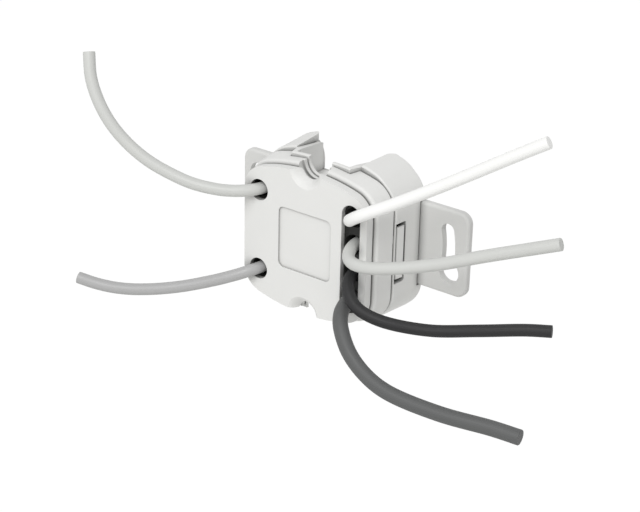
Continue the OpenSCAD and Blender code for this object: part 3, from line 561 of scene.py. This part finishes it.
# Depths: back of the cover, seam of shell and housing, front of the tongues, back of the
# recess's rim, front of the side windows
COVER_BACK, SEAM, TONGUE = FACE + 3, FACE + 9.4, FACE + 6.1
RIM_BACK, WINDOW = TONGUE + 1, SEAM + 0.3
# Round holes of the supply wires, and the slot of the input wires
HOLE_X, HOLE_Z, HOLE_R = -14.5, 10.8, 2.8
SLOT_X, SLOT_LEN, SLOT_W = 14.3, 28.6, 5.6
# Mounting plate with its ears
PLATE_FRONT, PLATE_W, PLATE_H = -2, 71.6, 22.8
# Square field in the middle of the cover
FIELD_W, FIELD_R, FIELD_DEPTH = 16.4, 1.6, 0.5
# Cable notch of the cover with its mouth, and the channel behind it
NOTCH_Z, NOTCH_R, FLARE_R, CHANNEL_Z = 19.6, 3, 4.9, 20
# Height of the lobes beside the recess
LOBE_TOP = 20.6
# Pegs between shell and housing, and stakes through the plate
PEG_X, PEG_Z, STAKE_X, STAKE_Z = 15, 13.2, 13, 7
# Wall, shadow line between two shells, and a reach past the whole part
WALL, SHADOW, FAR = 1.5, 0.2, 30
# The upper and the lower half
UP_DOWN = (1, -1)


def span(s, low, high):
    """Two heights in order, above the middle or mirrored below it."""
    return sorted((s * low, s * high))


def flare(s):
    """The wide mouth of a cable notch, in three tapers from the face to the channel."""
    tapers = []
    # Depth behind the face and radius, at the front and at the back of each taper
    for y0, r0, y1, r1 in [(-0.2, FLARE_R + 0.3, 0.4, 4.3), (0.3, 4.4, 1.0, 3.65),
                           (0.9, 3.72, 3.5, 2.47)]:
        taper = prism("flare", circle(0, s * NOTCH_Z, r0), FACE + y0, FACE + y1)
        scale_at(taper, FACE + y1, r1 / r0, r1 / r0, s * NOTCH_Z)
        tapers.append(taper)
    return tapers


def front_cover():
    """The crowned cover with its square field, wire holes, slot and cable notches."""
    cover = prism("front_cover_moulding", outline(COVER_R), FACE, COVER_BACK - SHADOW)
    # The back edge is rounded, and a smaller step behind it leaves the shadow line
    bevel(cover, 0.6, 5, at_depth(COVER_BACK - SHADOW))
    step_back(cover, COVER_BACK - SHADOW, 0.1, SHADOW)
    for s in UP_DOWN:
        cut(cover, prism("notch", circle(0, s * NOTCH_Z, NOTCH_R), FACE - 2, COVER_BACK + 2))
    # The notches' outer corners, then the whole front edge
    bevel(cover, 0.5, 3, lambda a, b, sharp: sharp and abs(a.x - b.x) < 0.01
          and abs(a.z - b.z) < 0.01 and abs(a.z) > 15 and abs(a.x) < 5
          and abs(a.y - b.y) > 1)
    bevel(cover, 1.0, 6, at_depth(FACE))
    for s in UP_DOWN:
        cut(cover, *flare(s))
    # Hollow behind, with a wall round each notch
    hollow = prism("hollow", outline(COVER_R - WALL), FACE + 1.4, COVER_BACK + 1)
    for s in UP_DOWN:
        cut(hollow, prism("wall", circle(0, s * NOTCH_Z, NOTCH_R + WALL), FACE, COVER_BACK + 2))
    cut(cover, hollow)
    for s in UP_DOWN:
        cut(cover, prism("hole", circle(HOLE_X, s * HOLE_Z, HOLE_R), FACE - 2, COVER_BACK + 2))
    cut(cover, prism("slot", rounded(SLOT_X, 0, SLOT_W, SLOT_LEN, SLOT_W / 2 - 0.001, 16),
                     FACE - 2, COVER_BACK + 2))
    cut(cover, prism("field", rounded(0, 0, FIELD_W, FIELD_W, FIELD_R), FACE - 2,
                     FACE + FIELD_DEPTH))

    # The mouths of the holes and the slot, and the edge of the field, are eased
    def mouth(p):
        near_hole = abs(math.hypot(p.x - HOLE_X, abs(p.z) - HOLE_Z) - HOLE_R) < 0.05
        near_slot = abs(abs(p.x - SLOT_X) - SLOT_W / 2) < 0.05 or (
            abs(p.z) > SLOT_LEN / 2 - SLOT_W / 2 - 0.1 and abs(p.x - SLOT_X) < SLOT_W / 2)
        return near_hole or near_slot

    def field_edge(p):
        return FIELD_W / 2 - FIELD_R - 0.7 < max(abs(p.x), abs(p.z)) < FIELD_W / 2 + 0.1

    front = at_depth(FACE)
    bevel(cover, 0.4, 4, lambda a, b, sharp: front(a, b, sharp) and both(a, b, mouth))
    bevel(cover, 0.2, 3, lambda a, b, sharp: sharp and max(a.y, b.y) < FACE + 0.4
          and abs(a.y - b.y) < 0.01 and both(a, b, field_edge))
    dress(cover, "front_cover", ABS_WHITE)


def tongue_plan(grow):
    """The tongue between the lobes, seen from above."""
    x0, x1 = 9.1 + grow, 10.1 + grow
    return [(-x0, TONGUE), (x0, TONGUE), (x1, SEAM), (x1, SEAM + 0.5), (-x1, SEAM + 0.5),
            (-x1, SEAM)]


def front_shell():
    """The middle ring, with its wider channels, the lip and the two latch bars."""
    front_r, seam_r, inner_r, clearance = 7.65, 8.35, 6.3, 0.25
    channel_r, channel_mouth_r, channel_wall_r = 3.9, 4.5, 7.1
    shell = prism("front_shell_moulding", outline(front_r), COVER_BACK, SEAM - SHADOW)
    widen_back(shell, SEAM - SHADOW, front_r, seam_r)
    bevel(shell, 1.0, 6, at_depth(COVER_BACK))
    bevel(shell, 0.6, 5, at_depth(SEAM - SHADOW))
    step_back(shell, SEAM - SHADOW, 0.1, SHADOW)
    inside = prism("inside", outline(inner_r), COVER_BACK + 1.5, SEAM + 1)
    for s in UP_DOWN:
        cut(inside, prism("wall", circle(0, s * CHANNEL_Z, channel_wall_r, 80),
                          COVER_BACK, SEAM + 2))
    cut(shell, inside)
    # A lip reaches into the housing, and is open at the tongues and at the windows
    lip = prism("lip", outline(LIP_R), SEAM - 0.6, SEAM + 1.5)
    cut(lip, prism("lip_inside", outline(inner_r), SEAM - 1, SEAM + 2))
    for s in UP_DOWN:
        z0, z1 = span(s, 10.3, FAR)
        cut(lip, box((-15, SEAM - 2, z0), (15, SEAM + 3, z1)))
    for side in (1, -1):
        x0, x1 = span(side, 17.7, FAR)
        cut(lip, box((x0, WINDOW, -8), (x1, SEAM + 3, 8)))
    join(shell, lip)
    # Room for the tongues, the cable channels, and room for the terminals of both sides
    for s in UP_DOWN:
        z0, z1 = span(s, 10.3, FAR)
        behind = [(x, y - clearance if y < SEAM else SEAM + 3)
                  for x, y in tongue_plan(clearance)]
        cut(shell, plan("tongue_room", behind[:2] + [(10.35, SEAM)] + behind[3:5]
                        + [(-10.35, SEAM)], z0, z1))
        cut(shell, prism("channel", circle(0, s * CHANNEL_Z, channel_r, 80),
                         COVER_BACK - 2, SEAM + 2))
        cut(shell, prism("channel_mouth", circle(0, s * CHANNEL_Z, channel_mouth_r, 80),
                         COVER_BACK - 2, COVER_BACK + 1.8))
        z0, z1 = span(s, 7.1, 14.5)
        cut(shell, prism("room", [(-17.7, z0), (-11.3, z0), (-11.3, z1), (-17.7, z1)],
                         COVER_BACK - 1, COVER_BACK + 1.6))
    cut(shell, prism("room", [(11.1, -14.5), (17.5, -14.5), (17.5, 14.5), (11.1, 14.5)],
                     COVER_BACK - 1, COVER_BACK + 1.6))
    for side in (1, -1):
        # The bar's face leans a little outwards to the back
        inner, outer = side * 20.3, side * half_w(HOUSING_R)
        front, back = WINDOW + 0.6, WINDOW + 3.2
        bar = plan("latch_bar", [(inner, front), (outer - side * 0.3, front),
                                 (outer + side * 0.15, back), (inner, back)], -7.1, 7.1)
        bevel(bar, 0.35, 3, lambda a, b, sharp: sharp and min(abs(a.x), abs(b.x)) > 20.5)
        x0, x1 = span(side, 18.7, 20.4)
        join(bar, box((x0, front, -5.6), (x1, back, 5.6)))
        for s in UP_DOWN:
            z0, z1 = span(s, 3, 5)
            join(bar, box((x0, SEAM - 0.4, z0), (x1, WINDOW + 1, z1)))
        join(shell, bar)
    dress(shell, "front_shell", ABS_WHITE)


def tongue(s):
    """One tongue's full form between the lobes, with its crowned top."""
    z0, z1 = span(s, 10.4, FAR)
    piece = plan("tongue", tongue_plan(0), z0, z1)
    arc = [(x, s * (20.95 - 110 + math.sqrt(110 ** 2 - x * x))) for x in range(-12, 13)]
    combine(piece, prism("crown", arc + [(12, 0), (-12, 0)], TONGUE - 1, SEAM + 2), "INTERSECT")
    bevel(piece, 0.35, 3, lambda a, b, sharp: at_depth(TONGUE)(a, b, sharp)
          and min(abs(a.z), abs(b.z)) > 19)
    return piece


def rear_housing():
    """The box behind the seam: four lobes, and a recess behind a rim above and below."""
    body = prism("rear_housing_moulding", housing_outline(8.6), SEAM, 0)
    widen_back(body, 0, 8.6, 9.2)
    bevel(body, 0.6, 5, at_depth(SEAM))
    bevel(body, 0.5, 4, at_depth(0))
    for s in UP_DOWN:
        join(body, tongue(s))
    # It is hollow up to the plate, and further back only in the lobes
    inside = prism("inside", outline(HOUSING_R - WALL), SEAM - 1, PLATE_FRONT - WALL)
    for s in UP_DOWN:
        lobes = prism("lobes", outline(HOUSING_R - WALL), PLATE_FRONT - WALL - 0.5, -WALL)
        z2, z3 = span(s, 13, -FAR)
        cut(lobes, box((-FAR, -10, z2), (FAR, 3, z3)))
        join(inside, lobes)
    # The recess's walls, the blocks beside them and the posts of the pegs stay solid
    for s in UP_DOWN:
        z0, z1 = span(s, 10.4, FAR)
        cut(inside, box((-11.1, SEAM - 3, z0), (11.1, 3, z1)))
        for side in (1, -1):
            x0, x1 = span(side, 8.5, 14.9)
            z0, z1 = span(s, LOBE_TOP - 3.5, FAR)
            cut(inside, box((x0, SEAM - 3, z0), (x1, 3, z1)))
            cut(inside, prism("post", circle(side * PEG_X, s * PEG_Z, 1.8, 32),
                              FACE + 12.6, 3))
    cut(body, inside)
    for s in UP_DOWN:
        z0, z1 = span(s, 11.9, FAR)
        cut(body, plan("recess", [(-8.2, RIM_BACK), (8.2, RIM_BACK), (9.6, 1), (-9.6, 1)],
                       z0, z1))
        # The recess walls' top edges fall a little and round off before the plate
        end = PLATE_FRONT - 0.1
        drop = [(SEAM, LOBE_TOP), (end - 2.4, LOBE_TOP - 0.9)]
        for i in range(1, 9):
            a = math.pi / 16 * i
            drop.append((end - 1.6 + 1.6 * math.sin(a), LOBE_TOP - 2.5 + 1.6 * math.cos(a)))
        drop += [(end, 10.4), (1, 10.4), (1, FAR), (SEAM, FAR)]
        cut(body, side_on("drop", [(y, s * z) for y, z in drop], -10.2, 10.2))
        # Between a recess wall and its lobe's skin a narrow gap opens to the back, where
        # the skin's end runs back to the outer corner and the block below is eased
        z0, z1 = span(s, LOBE_TOP - 2, FAR)
        ease = [(10.1, LOBE_TOP - 7), (10.4, LOBE_TOP - 5), (10.9, LOBE_TOP - 3.6),
                (11.6, LOBE_TOP - 2.5), (12.2, LOBE_TOP - 1.95), (10.1, LOBE_TOP - 1.95)]
        for side in (1, -1):
            gap = [(10.1, SEAM + 0.6), (10.8, PLATE_FRONT - 0.3), (11.2, PLATE_FRONT + 0.5),
                   (12.0, PLATE_FRONT + 1.4), (13.2, 0.2), (13.2, 1), (10.1, 1)]
            cut(body, plan("skin_gap", [(side * x, y) for x, y in gap], z0, z1))
            cut(body, prism("ease", [(side * x, s * z) for x, z in ease], -0.9, 1))
        cut(body, prism("rim_channel", circle(0, s * CHANNEL_Z, 3.6, 80),
                        TONGUE - 1, RIM_BACK + 0.5))
    # Each side has a window for the latch bar, its back corners rounded
    for side in (1, -1):
        x0, x1 = span(side, half_w(LIP_R), FAR)
        window = box((x0, WINDOW, -8.1), (x1, WINDOW + 3.8, 8.1))
        bevel(window, 0.6, 4, lambda a, b, sharp: sharp and abs(a.y - b.y) < 0.01
              and abs(a.z - b.z) < 0.01 and a.y > WINDOW + 2)
        cut(body, window)
        # The side wall is eased where it meets the plate
        x0, x1 = span(side, 21.2, FAR)
        cut(body, box((x0, PLATE_FRONT - 0.35, -PLATE_H / 2 - 0.1), (x1, 0, PLATE_H / 2 + 0.1)))
    cut(body, box((-FAR, PLATE_FRONT, -PLATE_H / 2 - 0.1), (FAR, 3, PLATE_H / 2 + 0.1)))
    # Pegs in front, and stakes whose heads hold the plate
    for side in (1, -1):
        for s in UP_DOWN:
            join(body, prism("peg", circle(side * PEG_X, s * PEG_Z, 0.9, 32),
                             FACE + 11, FACE + 12.7))
            x, z = side * STAKE_X, s * STAKE_Z
            stake = prism("stake", circle(x, z, 1.2, 32), PLATE_FRONT - 0.3, -0.5)
            head = prism("head", circle(x, z, 2, 40), -0.6, -0.1)
            bevel(head, 0.2, 3, at_depth(-0.1))
            join(stake, head)
            join(body, stake)
    dress(body, "rear_housing", ABS_WHITE)


def keyhole(s):
    """The slot of one ear, along its arc from the narrow end to the round hole."""
    arc_r, half, steps = 30.3, 1.85, 24
    above, below = 5.75, 5.2
    end = math.asin(above / arc_r)
    start = -math.asin(below / arc_r)
    loop = []
    for i in range(steps + 1):
        a = start + (end - start) * i / steps
        loop.append(((arc_r + half) * math.cos(a), (arc_r + half) * math.sin(a)))
    for i in range(1, 16):
        a = end + math.pi * i / 16
        loop.append((arc_r * math.cos(end) + half * math.cos(a),
                     arc_r * math.sin(end) + half * math.sin(a)))
    for i in range(steps + 1):
        a = end + (start - end) * i / steps
        loop.append(((arc_r - half) * math.cos(a), (arc_r - half) * math.sin(a)))
    slot = prism("screw_slot", [(s * x, s * z) for x, z in loop], -3, 2)
    join(slot, prism("head_hole", circle(s * 30.6, -s * below, 2.85, 56), -3, 2))
    return slot


def mounting_plate():
    """The flat plate with its two keyhole ears, eased all round."""
    plate = prism("mounting_plate_moulding", rounded(0, 0, PLATE_W, PLATE_H, 3), PLATE_FRONT, 0)
    bevel(plate, 0.8, 5, at_depth(PLATE_FRONT))
    bevel(plate, 0.25, 3, at_depth(0))
    cut(plate, keyhole(1), keyhole(-1))
    bevel(plate, 0.25, 3, lambda a, b, sharp: at_depth(PLATE_FRONT)(a, b, sharp)
          or at_depth(0)(a, b, sharp))
    for side in (1, -1):
        for s in UP_DOWN:
            x, z = side * STAKE_X, s * STAKE_Z
            cut(plate, prism("bore", circle(x, z, 1.3, 32), -3, 2))
            cut(plate, prism("seat", circle(x, z, 2.1, 40), -0.7, 2))
    dress(plate, "mounting_plate", POLYAMIDE)


front_cover()
front_shell()
rear_housing()
mounting_plate()


# Floor, backdrop and light

def seen_directly(tree):
    """1 for what the camera sees, straight on or mirrored, and 0 for light on the part."""
    ray = add(tree, "LightPath")
    return add(tree, "Math", {0: ray.outputs["Is Camera Ray"], 1: ray.outputs["Is Glossy Ray"]},
               operation="MAXIMUM").outputs["Value"]


def white_floor():
    """A pale floor, seen by the camera as white, that keeps the part's shadow."""
    deselect()
    bpy.ops.mesh.primitive_plane_add(size=8, location=(0, 0, -0.2))
    floor = bpy.context.object
    floor.name = "floor"
    finish = bpy.data.materials.new("pale_floor")
    finish.use_nodes = True
    tree = finish.node_tree
    tree.nodes.clear()
    share = add(tree, "Math", {0: seen_directly(tree), 1: 0.9}, operation="MULTIPLY")
    matt = add(tree, "BsdfDiffuse", {"Color": linear("#F4F4F2")})
    white = add(tree, "Emission", {"Color": (1, 1, 1, 1), "Strength": 1.06})
    mix = add(tree, "MixShader", {"Fac": share.outputs["Value"], 1: matt.outputs["BSDF"],
                                  2: white.outputs["Emission"]})
    add(tree, "OutputMaterial", {"Surface": mix.outputs["Shader"]})
    floor.data.materials.append(finish)


def lamp(name, place, size, power):
    """A soft square lamp that faces the part."""
    data = bpy.data.lights.new(name, "AREA")
    data.size, data.energy = size, power
    light = bpy.data.objects.new(name, data)
    bpy.context.scene.collection.objects.link(light)
    light.location = place
    aim = Vector((0, -0.012, 0)) - Vector(place)
    light.rotation_euler = aim.to_track_quat("-Z", "Y").to_euler()


def surroundings():
    """White all round, and a soft half of that as light on the part."""
    world = bpy.data.worlds.new("studio")
    bpy.context.scene.world = world
    world.use_nodes = True
    tree = world.node_tree
    tree.nodes.clear()
    soft = add(tree, "Background", {"Color": (1, 1, 1, 1), "Strength": 0.5})
    white = add(tree, "Background", {"Color": (1, 1, 1, 1), "Strength": 1.0})
    mix = add(tree, "MixShader", {"Fac": seen_directly(tree), 1: soft.outputs["Background"],
                                  2: white.outputs["Background"]})
    add(tree, "OutputWorld", {"Surface": mix.outputs["Shader"]})


white_floor()
lamp("key_lamp", place=(0.25, -0.8, 0.85), size=0.7, power=8.0)
surroundings()
bpy.context.scene.view_settings.view_transform = "Standard"
